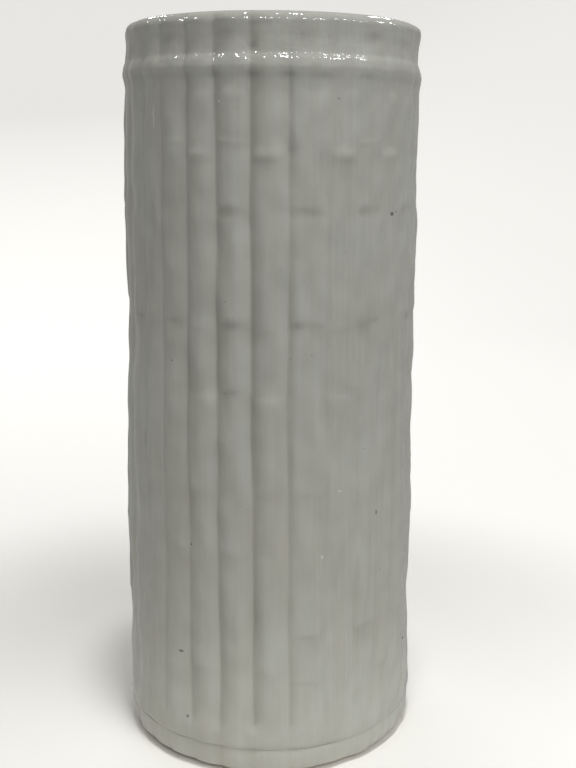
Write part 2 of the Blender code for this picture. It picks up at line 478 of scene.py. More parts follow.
@dataclass(frozen=True)
class WhiteGlaze:
    """Glossy white glaze over a pale body: streaked where it ran, deeper in tone where it gathered and where
    shade and light are painted on.

    The mesh says where by its layers: pool_and_shade for gathered glaze and painted shade in the valleys, the
    groove and the creases, grain where fine upright lines show through, bare where the clay has no glaze,
    stain_and_painted_light where the glaze is darker or lighter by a share (painted shade, painted light and
    a few darker blotches), and thick where it is thick enough to ripple. The depths of the relief are in
    metres.
    """

    slot: str = "white_glaze"
    warm: Colour = (0.411, 0.405, 0.362)
    cool: Colour = (0.398, 0.404, 0.368)
    pooled_and_shaded: Colour = (0.300, 0.296, 0.250)
    iron: Colour = (0.055, 0.05, 0.04)
    clay: Colour = (0.60, 0.54, 0.45)
    chalk: Colour = (0.8, 0.8, 0.75)
    marks: tuple[Mark, ...] = each(
        Mark,
        (-30.0, 0.150, 0.0009, 1.0, -1.0), (-34.2, 0.077, 0.0022, 0.5, -0.8),
        (45.0, 0.167, 0.0008, 2.6, -1.0), (71.0, 0.063, 0.0016, 0.8, -1.0),
        (-38.0, 0.268, 0.0010, 0.8, -0.6), (-31.5, 0.033, 0.0015, 0.8, -0.7),
        (24.5, 0.430, 0.0010, 0.8, -0.5), (20.5, 0.145, 0.0011, 1.4, 0.8), (27.0, 0.187, 0.0013, 0.8, 0.7),
        (-18.0, 0.428, 0.0010, 1.0, 0.7), (-47.0, 0.419, 0.0009, 12.0, 0.55),
        (51.2, 0.3600, 0.0024, 0.7, -0.9), (54.0, 0.3610, 0.0018, 0.5, -0.35),
    )
    wall_radius: float = 0.0995
    broad: Pattern = Pattern(16, 3)
    cloud: Pattern = Pattern(75, 3, 0.55)
    runs: Pattern = Pattern(150, 3, 0.06)
    lines: Pattern = Pattern(520, 4, 0.03, 0.65)
    peel: Pattern = Pattern(190)
    grit: Pattern = Pattern(2600, 3)
    specks: tuple[float, float, float] = (150, 0.075, 0.05)
    pinholes: tuple[float, float, float] = (210, 0.09, 0.06)
    broad_tone: float = 0.16
    cloud_tone: float = 0.16
    run_tone: float = 0.18
    grain_tone: float = 0.17
    line_tone: float = 0.05
    gloss: float = 0.085
    clay_roughness: float = 0.85
    peel_depth: float = 0.00016
    thick_peel_depth: float = 0.00014
    line_depth: float = 0.00005
    run_depth: float = 0.0003
    cloud_depth: float = 0.00025
    pinhole_depth: float = 0.00009
    mark_depth: float = 0.0001
    grit_depth: float = 0.00012
    clay_depth: float = 0.0003

    def build(self) -> Material:
        """The material: a tone and a relief, each a weighted sum of the same few noises."""
        s = Shader(self.slot)
        pool_and_shade, grain, bare = s.layer("pool_and_shade"), s.layer("grain"), s.layer("bare")
        stain_and_painted_light, thick = s.layer("stain_and_painted_light"), s.layer("thick")
        shapes = (self.broad, self.cloud, self.runs, self.lines, self.peel, self.grit)
        broad, cloud, runs, lines, peel, grit = (s.pattern(shape) for shape in shapes)
        dark_specks, pinholes = s.specks(*self.specks), s.specks(*self.pinholes)

        hue = (runs * 0.55 + broad * 0.45).ramp(0.40, 0.60)
        glaze = s.blend(hue, self.warm, self.cool)
        # Gathered glaze and painted shade: darker in the valleys, the groove, the rings' creases and the
        # foot's scallops.
        glaze = s.blend(pool_and_shade * 0.8, glaze, self.pooled_and_shaded)
        tone = 1 + (broad - 0.5) * self.broad_tone + (cloud - 0.5) * self.cloud_tone
        tone = tone + (runs - 0.5) * self.run_tone
        # This layer scales the tone: painted shade and painted light, and a few darker blotches.
        tone = (tone + (lines - 0.5) * (grain * self.grain_tone + self.line_tone)) * (1 - stain_and_painted_light)
        glaze = s.brightened(glaze, tone)
        glaze = s.blend(dark_specks * 0.55, glaze, self.iron)
        glaze = s.blend(pinholes * 0.25, glaze, self.iron)
        relief = (peel - 0.5) * (self.peel_depth + thick * self.thick_peel_depth)
        relief = relief + (lines - 0.5) * (grain * self.line_depth) + (runs - 0.5) * self.run_depth
        relief = relief + (cloud - 0.5) * self.cloud_depth - pinholes * self.pinhole_depth
        for mark in self.marks:
            spot = s.spot(mark.centre(self.wall_radius), mark.half, mark.tall)
            shade, cover = (self.iron, 0.85) if mark.tone < 0 else (self.chalk, 0.5)
            glaze = s.blend(spot * abs(mark.tone) * cover, glaze, shade)
            relief = relief + spot * (self.mark_depth * mark.tone)

        dusty = s.blend(cloud, self.clay, tuple(0.8 * c for c in self.clay))
        dusty = s.brightened(dusty, 0.85 + grit * 0.3)
        edge = (bare + (cloud - 0.5) * 0.5).ramp(0.42, 0.58)
        sheen = self.gloss + (cloud - 0.5) * 0.06 + pool_and_shade * 0.03
        return s.finish(
            Base_Color=s.blend(edge, glaze, dusty),
            Roughness=sheen * (1 - edge) + edge * self.clay_roughness,
            IOR=1.5,
            Normal=s.bumped(relief * (1 - edge) + edge * (grit * self.grit_depth + cloud * self.clay_depth)),
        )


@dataclass(frozen=True)
class Felt:
    """Dense pressed felt: short fibres that lie every way, with a matted, slightly fuzzy surface."""

    slot: str = "felt"
    dark: Colour = (0.035, 0.032, 0.029)
    light: Colour = (0.105, 0.098, 0.088)

    def build(self) -> Material:
        """The material."""
        s = Shader(self.slot)
        along, across = (s.noise(2600, 4, s.stretched(way)) for way in ((1, 0.25, 1), (0.25, 1, 1)))
        strands = along * 0.5 + across * 0.5
        mat = s.noise(420, 3)
        return s.finish(
            Base_Color=s.blend((strands * 0.7 + mat * 0.3).ramp(0.38, 0.66), self.dark, self.light),
            Roughness=0.96,
            Sheen_Weight=0.35,
            Sheen_Roughness=0.6,
            Normal=s.bumped(strands * 0.00018 + mat * 0.0002),
        )


@dataclass(frozen=True)
class StudioPaper:
    """Matt pale paper of the floor and the backdrop, lit from behind beyond the floor round the vase."""

    name: str = "studio_paper"
    shade: Colour = (0.87, 0.86, 0.82)
    glow: float = 0.40
    glow_from: float = 0.14
    glow_full: float = 0.50

    def build(self) -> Material:
        """The material."""
        s = Shader(self.name)
        tooth = s.noise(700, 2)
        from_axis = s.node("ShaderNodeVectorMath", {"operation": "LENGTH"}, {0: s.place})
        glow = Value(s, from_axis.outputs["Value"]).ramp(self.glow_from, self.glow_full)
        return s.finish(
            Base_Color=s.brightened(self.shade, 0.99 + s.noise(3, 2) * 0.02),
            Roughness=0.9,
            Emission_Color=s.brightened((1.0, 1.0, 0.99), glow),
            Emission_Strength=self.glow,
            Normal=s.bumped(tooth * 0.00005),
        )


# --- Canes ---


class NodeKind(Enum):
    """How a ring shows across a cane."""

    SWELL = "raised all round"
    CREASE = "pinched in"
    DROP = "proud above, set back below"
    LINE = "a thin raised line"


@dataclass(frozen=True)
class CaneNode:
    """A ring across some of the canes: their letters, its height, its kind and how strong it is."""

    canes: str
    height: float
    kind: NodeKind
    strength: float = 1.0

    def relief(self, offset: Array) -> Array:
        """How far the ring stands out at each height above its middle.

        A swell and a crease are bell curves. A drop is a hyperbolic tangent that fades out as a wider
        bell. A line is a narrow bell.

        Args:
            offset: Heights above the ring.

        Returns:
            Offsets outwards.
        """
        if self.kind is NodeKind.SWELL:
            out = 0.00075 * bell(offset, 0.0040)
        elif self.kind is NodeKind.CREASE:
            out = -0.00050 * bell(offset, 0.0034)
        elif self.kind is NodeKind.DROP:
            out = 0.00040 * np.tanh(offset / 0.0017) * bell(offset, 0.011)
        else:
            out = 0.00028 * bell(offset, 0.0017)
        return out * self.strength


@dataclass(frozen=True)
class Swell:
    """A soft swell or dent left by the mould and the firing: a bell curve in angle and in height."""

    degrees: float
    height: float
    out: float
    wide: float
    tall: float

    def over(self, degrees: Array, height: Array) -> Array:
        """How far it pushes the surface out at each angle and height."""
        away = (degrees - self.degrees + 180) % 360 - 180
        return self.out * bell(away, self.wide) * bell(height - self.height, self.tall)


@dataclass(frozen=True)
class CaneLayout:
    """Where the canes are, how deep the valleys between them run, and the rings across them."""

    first_valley: float = -66.0
    front_widths: tuple[float, ...] = (12, 11, 12, 12, 13, 13.5, 13.5, 12, 12, 12, 13)
    back_canes: int = 19
    front_valleys: tuple[float, ...] = (
        0.30, 0.38, 0.42, 0.72, 0.95, 1.15, 0.62, 0.12, 0.12, 0.14, 0.14, 0.30
    )
    front_crowns: tuple[float, ...] = (0.5, 0.5, 0.42, 0.45, 0.5, 0.46, 0.26, 0.4, 0.5, 0.5, 0.5)
    valley_depth: float = 0.0031
    valley_round: float = 0.045
    lean: float = 1.6
    wander: float = 0.35
    bottom: float = 0.0332
    top: float = 0.445
    seed: int = 11
    stops: tuple[float, ...] = (0, 0.045, 0.10, 0.18, 0.29, 0.41, 0.53, 0.65, 0.77, 0.88, 0.955)
    rings: tuple[CaneNode, ...] = each(
        CaneNode,
        ("cei", 0.4045, NodeKind.LINE, 1.0), ("dfhj", 0.3965, NodeKind.SWELL, 1.15),
        ("egik", 0.3610, NodeKind.CREASE, 1.25), ("acegik", 0.2945, NodeKind.DROP, 1.0),
        ("bdfh", 0.2900, NodeKind.DROP, 0.45), ("dfh", 0.2480, NodeKind.DROP, -0.6),
        ("e", 0.2520, NodeKind.DROP, 0.7), ("bdf", 0.1870, NodeKind.DROP, 0.8),
        ("g", 0.1860, NodeKind.DROP, 0.6), ("ce", 0.1490, NodeKind.SWELL, 0.7),
        ("f", 0.1425, NodeKind.LINE, 0.8), ("gik", 0.0925, NodeKind.DROP, 0.9),
        ("df", 0.0705, NodeKind.DROP, 0.7), ("gj", 0.0615, NodeKind.DROP, 0.7),
        ("i", 0.0510, NodeKind.DROP, 0.7),
    )
    back_even: tuple[float, ...] = (0.361, 0.294, 0.149, 0.093)
    back_odd: tuple[float, ...] = (0.398, 0.289, 0.187, 0.070)

    @property
    def canes(self) -> int:
        """Number of canes round the vase."""
        return len(self.front_widths) + self.back_canes

    @property
    def cane(self) -> Array:
        """Number of the cane that each mesh column is on."""
        return np.repeat(np.arange(self.canes), len(self.stops))

    @property
    def across(self) -> Array:
        """How far across its cane each mesh column is, from 0 to 1."""
        return np.tile(self.stops, self.canes)

    def valleys(self, height: Array) -> Array:
        """Angle of each valley at each height: it leans over the height and wanders a little.

        Args:
            height: Heights, one to a row.

        Returns:
            Degrees, one row for each height and one column for each valley, the first one repeated
            at the end a whole turn on.
        """
        back = (360 - sum(self.front_widths)) / self.back_canes
        widths = list(self.front_widths) + [back] * (self.back_canes - 1)
        straight = self.first_valley + np.concatenate([[0], np.cumsum(widths)])
        draw = np.random.default_rng(self.seed)
        shift = np.zeros((len(height), self.canes))
        for wave in (0.33, 0.145, 0.07):
            start = draw.uniform(0, 2 * math.pi, self.canes)
            size = self.wander * draw.uniform(0.4, 1, self.canes) * (wave / 0.33) ** 0.6
            shift += size * np.sin(2 * math.pi * height[:, None] / wave + start)
        middle = (self.top + self.bottom) / 2
        leaning = bell(straight + 14, 34) + 0.3
        shift -= self.lean * leaning * (height[:, None] - middle) / (self.top - self.bottom)
        places = straight + shift
        return np.concatenate([places, places[:, :1] + 360], axis=1)

    def depths(self, height: Array) -> Array:
        """Depth of each valley at each height as a share of valley_depth, with a soft variation.

        Args:
            height: Heights, one to a row.

        Returns:
            Shares, laid out as by valleys.
        """
        draw = np.random.default_rng(self.seed + 1)
        behind = draw.uniform(0.35, 1.05, self.canes - len(self.front_valleys))
        even = np.concatenate([self.front_valleys, behind])
        varied = np.zeros((len(height), self.canes))
        for wave in (0.21, 0.09):
            start = draw.uniform(0, 2 * math.pi, self.canes)
            varied += 0.11 * np.sin(2 * math.pi * height[:, None] / wave + start)
        shares = even * (1 + varied)
        return np.concatenate([shares, shares[:, :1]], axis=1)

    def columns_at(self, height: Array) -> tuple[Array, Array, Array, Array]:
        """The mesh columns at each height.

        Args:
            height: Heights, one to a row.

        Returns:
            The angle of each vertex, how far across its cane it is from 0 to 1, and the depths of
            the valleys to its left and to its right.
        """
        valleys, depths = self.valleys(height), self.depths(height)
        cane, across = self.cane, self.across
        degrees = valleys[:, cane] * (1 - across) + valleys[:, cane + 1] * across
        return degrees, across, depths[:, cane], depths[:, cane + 1]

    def hollows(self, across: Array, left: Array, right: Array) -> tuple[Array, Array]:
        """Depth below the crest as a share of valley_depth, 0 on a cane's crown.

        Each flank is a parabola from the crown to the valley, so that its slope grows evenly. The
        distance from the valley is taken along a hyperbola, which rounds the valley's bottom.

        Args:
            across: Place on the cane.
            left: Depth of the valley to its left.
            right: Depth of the valley to its right.

        Returns:
            Depths on the flank by the left valley, 0 elsewhere, and on the one by the right valley.
        """
        crowns = np.full(self.canes, 0.5)
        crowns[: len(self.front_crowns)] = self.front_crowns
        crown = crowns[self.cane]

        def flank(share: Array) -> Array:
            """A flank's depth at a share of the way from the valley to the crown."""
            soft = self.valley_round
            rounded = (np.hypot(share, soft) - soft) / (math.hypot(1, soft) - soft)
            return np.clip(1 - rounded, 0, 1) ** 2

        before = flank(np.clip(across / crown, 0, 1)) * (across < crown)
        after = flank(np.clip((1 - across) / (1 - crown), 0, 1)) * (across >= crown)
        return left * before, right * after

    def rings_over(self, height: Array) -> Array:
        """Relief of all the rings over the grid of columns.

        A ring fades towards both valleys of its cane and stands a little left of the middle.

        Args:
            height: Height of each row.

        Returns:
            Offsets outwards, one row for each height.
        """
        cane, across = self.cane, self.across
        spread = np.sin(math.pi * np.clip(across, 0, 1) ** 0.8) ** 0.7
        draw = np.random.default_rng(self.seed + 2)
        tilt = draw.uniform(-0.0022, 0.0022, self.canes)[cane] * (across - 0.5)
        start = draw.uniform(0, 2 * math.pi, self.canes)[cane]
        tilt = tilt + 0.0005 * np.sin(8 * across + start)
        spread = spread * (0.75 + 0.35 * np.sin(6 * across + 2 * start))
        offset = height[:, None] - tilt
        total = np.zeros(offset.shape)
        for ring in self.rings:
            chosen = np.isin(cane, ["abcdefghijk".index(letter) for letter in ring.canes])
            total += ring.relief(offset - ring.height) * (chosen * spread)
        kinds = (NodeKind.CREASE, NodeKind.DROP, NodeKind.SWELL, NodeKind.DROP)
        for number in range(len(self.front_widths), self.canes):
            heights = self.back_odd if number % 2 else self.back_even
            for kind, middle in zip(kinds, heights):
                ring = CaneNode("", middle + draw.uniform(-0.006, 0.006), kind, draw.uniform(0.5, 1.0))
                total += ring.relief(offset - ring.height) * ((cane == number) * spread)
        return total


# --- The vase's pieces ---


@dataclass(frozen=True)
class Groove:
    """The scored groove between the wall and the foot: deep in places, nearly filled with glaze in others."""

    middle: float = 0.01733
    depth: float = 0.0009
    half: float = 0.0016
    shares: Knots = (
        (-180, 0.6), (-75, 0.10), (-50, 0.25), (-35, 0.20), (-20, 0.8), (-12, 0.4), (-5, 1.0), (2, 0.5),
        (10, 1.0), (16, 0.6), (24, 0.9), (35, 0.3), (50, 0.2), (75, 0.10), (120, 0.6), (180, 0.6),
    )

    def share(self, degrees: Array, height: Array) -> Array:
        """Its depth at each angle and height, as a share of the greatest: a bell curve across it."""
        return through(degrees, self.shares) * bell(height - self.middle, self.half)


@dataclass
class CaneWall:
    """The tube of canes, with its lip, collar, raised band and bore, as one closed skin of glaze.

    outline gives how far the section stands outside the crest of the canes by height, and flute_shares
    how deep the valleys are there. stains_and_painted_light are swells too, whose out is how much darker the
    glaze is painted: painted shade under the lip, under the raised band and along the rings, painted light
    where out is negative, and a few darker blotches.
    """

    finish: Material
    layout: CaneLayout = CaneLayout()
    groove: Groove = Groove()
    crest: float = 0.0995
    bore: float = 0.0895
    groove_height: float = 0.01735
    lip_drop: float = 0.0062
    lip_crest: float = 0.0920
    lip_inner: float = 0.0025
    lip_flutes: float = 0.55
    bore_flutes: float = -0.22
    bore_swells: float = 0.6
    outline: Knots = (
        (0.01735, -0.0001), (0.0192, 0.0000), (0.0230, 0.0002), (0.0600, 0.0001), (0.2500, 0.0000),
        (0.4300, 0.0000), (0.4395, -0.0006), (0.4440, 0.0000), (0.4484, 0.0008), (0.4532, 0.0003),
        (0.4570, -0.0007), (0.4650, -0.0010), (0.4748, -0.0003),
    )
    flute_shares: Knots = (
        (0.0175, 0.25), (0.0200, 0.08), (0.0270, 0.12), (0.0370, 0.95), (0.0600, 1.00), (0.4340, 1.00),
        (0.4410, 1.10), (0.4490, 0.35), (0.4570, 0.55), (0.4720, 0.50),
    )
    swells: tuple[Swell, ...] = each(
        Swell,
        (-84, 0.280, -0.0012, 15, 0.038), (-84, 0.145, 0.0011, 15, 0.040), (84, 0.478, 0.0013, 18, 0.008),
        (84, 0.443, 0.0009, 11, 0.010), (84, 0.378, -0.0006, 12, 0.014), (84, 0.248, -0.0010, 13, 0.010),
        (84, 0.208, -0.0010, 13, 0.010), (84, 0.092, -0.0015, 15, 0.022), (84, 0.022, 0.0012, 20, 0.020),
        (-5.5, 0.4605, -0.0009, 2.0, 0.0045), (7.8, 0.399, -0.0008, 2.6, 0.0065),
        (39.5, 0.466, -0.0008, 4.0, 0.0045), (-16.0, 0.468, -0.0006, 4.5, 0.0050),
        (-39.0, 0.466, -0.0005, 4.0, 0.0060),
    )
    # Painted shade and light: darker under the lip, under the raised band and along the rings, lighter on
    # some rings and in broad patches; a few are darker blotches in the glaze.
    stains_and_painted_light: tuple[Swell, ...] = each(
        Swell,
        (39.5, 0.4685, 0.17, 3.4, 0.0024), (-65, 0.461, 0.12, 5.0, 0.0050),
        (-40, 0.4665, 0.13, 3.5, 0.0045), (-16, 0.4680, 0.13, 5.0, 0.0034),
        (-5.8, 0.4603, 0.18, 1.8, 0.0024), (-3, 0.4735, 0.12, 3.0, 0.0016), (10, 0.4665, 0.10, 3.5, 0.0024),
        (58, 0.4660, 0.10, 7.0, 0.0030), (-19.5, 0.4445, 0.09, 2.5, 0.0022),
        (-6, 0.4445, 0.14, 3.0, 0.0022), (6.5, 0.4440, 0.15, 3.0, 0.0022),
        (18.5, 0.4435, 0.15, 3.5, 0.0022), (37, 0.4440, 0.08, 4.0, 0.0018), (0, 0.4437, 0.07, 200, 0.0020),
        (28, 0.4437, -0.06, 4.0, 0.0022), (7.8, 0.3990, 0.13, 1.6, 0.0050),
        (-27, 0.3930, 0.08, 2.6, 0.0016), (-1.5, 0.3930, 0.14, 3.8, 0.0018),
        (27.5, 0.3930, 0.12, 3.4, 0.0018), (-14, 0.3645, 0.09, 4.0, 0.0020),
        (11, 0.3645, 0.11, 4.0, 0.0018), (37, 0.3645, 0.08, 4.0, 0.0018), (62, 0.3645, 0.08, 4.0, 0.0018),
        (-13.2, 0.2938, 0.24, 2.8, 0.0030), (10.6, 0.2936, 0.20, 2.2, 0.0024),
        (41, 0.2945, 0.12, 2.4, 0.0018), (65, 0.2925, 0.20, 3.0, 0.0022), (-37, 0.2940, 0.10, 3.0, 0.0016),
        (-60, 0.2930, 0.10, 4.0, 0.0016), (-13, 0.2515, 0.13, 2.6, 0.0018),
        (-54.8, 0.2120, 0.15, 1.1, 0.0070), (10, 0.1760, 0.07, 3.6, 0.0110),
        (-3.5, 0.1050, 0.06, 1.6, 0.0250), (-22.5, 0.2490, -0.11, 3.2, 0.0065),
        (2.0, 0.2475, -0.10, 3.6, 0.0055), (-36.0, 0.2600, -0.06, 3.0, 0.0090),
        (-27.5, 0.2700, 0.08, 2.6, 0.0100), (0.5, 0.2620, 0.07, 3.4, 0.0050),
        (-28.0, 0.2250, 0.06, 2.4, 0.0120), (-3.0, 0.2350, 0.08, 1.8, 0.0060),
        (-12.0, 0.4050, -0.08, 4.0, 0.0016), (-26.0, 0.3990, -0.07, 3.6, 0.0016),
        (-35.0, 0.4150, -0.06, 3.0, 0.0200), (-24.0, 0.4350, -0.08, 3.4, 0.0022),
        (18.0, 0.4280, -0.06, 4.0, 0.0060), (38.0, 0.4200, -0.06, 4.5, 0.0100),
        (-9.0, 0.3300, -0.06, 2.6, 0.0300), (3.0, 0.3800, -0.05, 3.0, 0.0120),
        (5.0, 0.1600, -0.06, 3.0, 0.0150), (-34.0, 0.0480, -0.08, 3.5, 0.0060),
        (-9.0, 0.0600, -0.06, 3.0, 0.0250), (-26.5, 0.0700, 0.05, 3.0, 0.0200),
        (14.0, 0.0930, 0.08, 4.5, 0.0012), (13.0, 0.0620, 0.08, 4.5, 0.0014),
        (41.0, 0.0930, 0.08, 4.5, 0.0012), (36.0, 0.3200, 0.045, 18.0, 0.0900),
        (-52.0, 0.2250, -0.05, 16.0, 0.0500), (2.0, 0.1050, -0.03, 12.0, 0.0500),
    )
    rings_between: tuple[float, float, float, float] = (0.030, 0.040, 0.4365, 0.4425)
    band_height: float = 0.4485
    band_half: float = 0.0065
    band_bulge: float = 0.0003
    # Painted shade, over gathered glaze: how much the valleys' flanks, the groove and the dimples darken the
    # glaze.
    left_tone: tuple[float, float] = (0.62, 1.2)
    right_tone: tuple[float, float] = (0.22, 2.2)
    groove_tone: float = 0.55
    dimple_height: float = 0.0345
    dimple_half: float = 0.0022
    dimple_tone: float = 0.7
    # Painted shade on the lip and just under it.
    lip_shade: float = 0.13
    # Painted light: a negative share lightens the glaze towards the foot, as from the floor's bounce.
    foot_bounce_light: float = -0.12
    lumps: Ripple = Ripple(5, 0.00026, (3, 40), (0.022, 0.12), 40)
    warp: Ripple = Ripple(6, 0.00040, (1, 4), (0.15, 0.60), 10)
    grain_shares: Knots = (
        (-180, 0.5), (-75, 0.7), (-60, 1.0), (-44, 0.7), (-34, 0.15), (10, 0.15), (22, 0.8), (40, 1.0),
        (70, 1.0), (110, 0.6), (180, 0.5),
    )

    def cane_rows(self, low: float, high: float, count: int) -> Array:
        """Heights between two, closer together near the rings."""
        fine = np.linspace(low, high, 2000)
        rings = {ring.height for ring in self.layout.rings}
        density = 1 + 1.3 * np.clip(sum(bell(fine - ring, 0.005) for ring in rings), 0, 1)
        return np.interp(np.linspace(0, 1, count), np.cumsum(density) / density.sum(), fine)

    def outside_rows(self) -> Array:
        """Heights of the rows up the outside, closer where the shape turns."""
        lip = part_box("cane_wall")[1].z - self.lip_drop
        parts = (
            np.array([self.groove_height, 0.0177, 0.0182, 0.0189, 0.0199, 0.0212, 0.0230, 0.0250]),
            self.cane_rows(0.027, 0.4365, 212),
            np.linspace(0.4380, 0.4600, 19),
            np.linspace(0.4618, lip, 9),
        )
        return np.concatenate(parts)

    def section(self) -> tuple[Array, Array, Array, Array]:
        """The wall's section, up the outside, over the lip and down the bore.

        Returns:
            The radius and the height of each row, how much of the outside's relief it takes, and how
            much of its swells.
        """
        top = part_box("cane_wall")[1].z
        rows = self.outside_rows()
        outside = np.stack([self.crest + through(rows, self.outline), rows], axis=-1)
        across = outside[-1, 0] - self.lip_crest
        lip = quarter_oval((self.lip_crest, top - self.lip_drop), across, self.lip_drop, 90, 14)[::-1][1:]
        inner_centre = (self.lip_crest, top - self.lip_inner)
        inner = quarter_oval(inner_centre, self.lip_crest - self.bore, self.lip_inner, 180, 4)[::-1][1:]
        down = np.linspace(top - self.lip_inner, self.groove_height, 24)[1:]
        inside = np.stack([np.full(len(down), self.bore), down], axis=-1)
        under = np.array([[(self.bore + self.crest) / 2, self.groove_height]])
        points = np.concatenate([outside, lip, inner, inside, under])
        fade = 1 - eased(np.arange(len(lip)) / (len(lip) - 1), 0.1, 1.0)
        bore_flutes = self.bore_flutes * eased(down, 0.05, 0.12) * (1 - eased(down, 0.40, 0.46))
        outer_flutes = [through(rows, self.flute_shares), self.lip_flutes * fade]
        flutes = np.concatenate([*outer_flutes, np.zeros(len(inner)), bore_flutes, [0]])
        lip_swell = self.bore_swells + (1 - self.bore_swells) * fade
        inner_swell = np.full(len(inner), self.bore_swells)
        bore_swell = self.bore_swells * eased(down, 0.05, 0.12)
        swells = np.concatenate([np.ones(len(rows)), lip_swell, inner_swell, bore_swell, [0]])
        return points[:, 0], points[:, 1], flutes, swells

    def build(self) -> Piece:
        """The wall: each row's radius, less the valleys, plus the rings, the swells and the lumps.

        Returns:
            The finished piece.
        """
        radius, height, flutes, swell_share = (values[:, None] for values in self.section())
        degrees, across, left, right = self.layout.columns_at(height[:, 0])
        away = (degrees + 180) % 360 - 180
        hollows = self.layout.hollows(across, left, right)
        outside = (np.arange(len(height)) < len(self.outside_rows()))[:, None]
        start, full, end, gone = self.rings_between
        on_canes = eased(height, start, full) * (1 - eased(height, end, gone))
        rings = self.layout.rings_over(height[:, 0]) * on_canes * outside
        groove = self.groove.share(away, height) * outside
        swells = sum(swell.over(away, height) for swell in self.swells)
        swells = swells + self.lumps.over(away, height) + self.warp.over(away, height)
        above_joint = np.where(outside, eased(height, 0.0172, 0.0200), 1)
        band = bell(height - self.band_height, self.band_half) * self.band_bulge * np.sin(math.pi * across)
        out = rings + band * outside - self.layout.valley_depth * sum(hollows) * flutes
        out += swells * swell_share * above_joint - self.groove.depth * groove
        points = around(radius + out, degrees, height)
        layers = {
            "pool_and_shade": self.pooling_and_shade(height, hollows, flutes, rings, groove) * outside,
            "grain": through(away, self.grain_shares) * outside,
            "stain_and_painted_light": self.staining_and_painted_light(away, height, outside),
            "thick": np.broadcast_to(eased(height, 0.4440, 0.4490), degrees.shape),
        }
        return dressed(tube("glazed_cane_wall", points, layers), self.finish, "cane_wall")

    def pooling_and_shade(
        self, height: Array, hollows: tuple[Array, Array], flutes: Array, rings: Array, groove: Array
    ) -> Array:
        """How much darker the glaze is outside, from gathered glaze and from painted shade: in the valleys
        and most on the flank to their right, in the groove and in the rings' creases.

        Each flank's part is a power of its depth. The valleys end in a darker dimple just above the foot.

        Args:
            height: Height of each row.
            hollows: Depths on both flanks, from 0 to about 1.
            flutes: Share of their depth that the valleys have at each height.
            rings: Relief of the rings.
            groove: Share of the groove's depth.

        Returns:
            Shares of that darker tone, from 0 to 1.
        """
        # Painted shade: the flank right of each valley is darkened most, as if lit from the right.
        tones = zip(hollows, (self.left_tone, self.right_tone))
        flanks = sum(np.clip(hollow, 0, 1.2) ** power * tone for hollow, (tone, power) in tones)
        upper = 0.70 + 0.30 * eased(height, 0.12, 0.30)
        pool_and_shade = flanks * np.clip(flutes, 0, 1) * upper
        pool_and_shade += self.groove_tone * groove + np.clip(-rings / 0.0009, 0, 0.5)
        dimple = bell(height - self.dimple_height, self.dimple_half) * np.clip(sum(hollows) - 0.3, 0, 1) ** 2
        return np.clip(pool_and_shade + self.dimple_tone * dimple, 0, 1)

    def staining_and_painted_light(self, away: Array, height: Array, outside: Array) -> Array:
        """How much darker the glaze is painted: painted shade and light with a few blotches, painted shade on
        and under the lip, and painted bounce light towards the foot.

        Args:
            away: Angle of each vertex from the front.
            height: Height of each row.
            outside: Whether each row is on the outside.

        Returns:
            Shares of the glaze's tone.
        """
        # Painted shade and light with a few blotches, painted shade on and under the lip, painted bounce
        # light near the foot.
        stain_and_painted_light = sum(stain_and_painted_light.over(away, height) for stain_and_painted_light in self.stains_and_painted_light) * outside
        on_lip, near_foot = eased(height, 0.4705, 0.4765), 1 - eased(height, 0.025, 0.120)
        return stain_and_painted_light + self.lip_shade * on_lip + self.foot_bounce_light * near_foot


